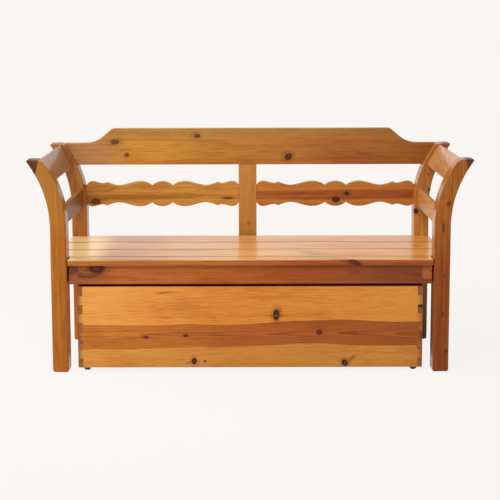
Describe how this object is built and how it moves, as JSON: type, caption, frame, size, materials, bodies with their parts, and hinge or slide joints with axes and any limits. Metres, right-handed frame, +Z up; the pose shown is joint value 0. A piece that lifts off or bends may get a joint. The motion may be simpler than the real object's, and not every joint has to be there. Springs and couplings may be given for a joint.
{
  "type": "wooden storage bench",
  "caption": "Lacquered pine settle bench with open flared arms, a scalloped back and a wide storage drawer that rolls out at the front on small wheels.",
  "frame": {"origin": "on the floor under the middle of the bench's box", "axes": "+X along the bench to the right as seen from the front, -Y out of the front, +Z up"},
  "size_m": [1.6964, 0.6318, 0.884],
  "materials": {
    "end_frame_pine": "clear lacquer, satin to gloss",
    "leg_tip_pine": "clear lacquer, satin to gloss",
    "back_pine": "clear lacquer, satin to gloss",
    "seat_pine": "clear lacquer, gloss",
    "apron_pine": "clear lacquer, satin to gloss",
    "drawer_pine": "clear lacquer, satin",
    "plain_pine": "bare sawn pine",
    "housing_plastic": "black moulded plastic",
    "wheel_plastic": "black moulded plastic",
    "steel": "zinc plated"
  },
  "bodies": {
    "bench": {"apron_front": "apron_pine", "apron_rear": "apron_pine", "arm_board_left": "end_frame_pine", "arm_board_right": "end_frame_pine", "arm_rail_left": "end_frame_pine", "arm_rail_right": "end_frame_pine", "back_centre_post": "back_pine", "back_top_rail": "back_pine", "bearer_left": "apron_pine", "bearer_right": "apron_pine", "cleat_screws": "steel", "end_bolt_nuts": "steel", "end_bolt_washers": "steel", "end_bolts": "steel", "end_rail_left": "plain_pine", "end_rail_right": "plain_pine", "leg_front_left": "end_frame_pine", "leg_front_right": "end_frame_pine", "leg_rear_left": "end_frame_pine", "leg_rear_right": "end_frame_pine", "leg_tip_front_left": "leg_tip_pine", "leg_tip_front_right": "leg_tip_pine", "leg_tip_rear_left": "leg_tip_pine", "leg_tip_rear_right": "leg_tip_pine", "scalloped_rail_left": "back_pine", "scalloped_rail_right": "back_pine", "seat_batten_left": "plain_pine", "seat_batten_right": "plain_pine", "seat_cleat": "plain_pine", "seat_front_strip": "seat_pine", "seat_plank_1": "seat_pine", "seat_plank_2": "seat_pine", "seat_plank_3": "seat_pine", "seat_screws": "steel"},
    "drawer": {"drawer_back": "drawer_pine", "drawer_batten_screws": "steel", "drawer_bottom": "plain_pine", "drawer_bottom_batten": "plain_pine", "drawer_front": "drawer_pine", "drawer_side_left": "drawer_pine", "drawer_side_right": "drawer_pine", "housing_screws": "steel", "wheel_axles": "steel", "wheel_housing_front_left": "housing_plastic", "wheel_housing_front_right": "housing_plastic", "wheel_housing_rear_left": "housing_plastic", "wheel_housing_rear_right": "housing_plastic"},
    "wheel_front_left": {"wheel_front_left": "wheel_plastic"},
    "wheel_front_right": {"wheel_front_right": "wheel_plastic"},
    "wheel_rear_left": {"wheel_rear_left": "wheel_plastic"},
    "wheel_rear_right": {"wheel_rear_right": "wheel_plastic"}
  },
  "joints": [
    {"name": "drawer_slide", "type": "slide", "parent": "bench", "child": "drawer", "axis": [0, -1, 0], "range_m": [0, 0.5]},
    {"name": "wheel_front_left_turn", "type": "hinge", "parent": "drawer", "child": "wheel_front_left", "pos_m": [-0.6335, -0.27239, 0.013], "axis": [1, 0, 0], "continuous": true},
    {"name": "wheel_front_right_turn", "type": "hinge", "parent": "drawer", "child": "wheel_front_right", "pos_m": [0.6305, -0.27239, 0.013], "axis": [1, 0, 0], "continuous": true},
    {"name": "wheel_rear_left_turn", "type": "hinge", "parent": "drawer", "child": "wheel_rear_left", "pos_m": [-0.6335, 0.18661, 0.013], "axis": [1, 0, 0], "continuous": true},
    {"name": "wheel_rear_right_turn", "type": "hinge", "parent": "drawer", "child": "wheel_rear_right", "pos_m": [0.6305, 0.18661, 0.013], "axis": [1, 0, 0], "continuous": true}
  ],
  "couplings": [
    {"joint": "wheel_front_left_turn", "follows": "drawer_slide", "rad_per_m": 76.923},
    {"joint": "wheel_front_right_turn", "follows": "drawer_slide", "rad_per_m": 76.923},
    {"joint": "wheel_rear_left_turn", "follows": "drawer_slide", "rad_per_m": 76.923},
    {"joint": "wheel_rear_right_turn", "follows": "drawer_slide", "rad_per_m": 76.923}
  ]
}
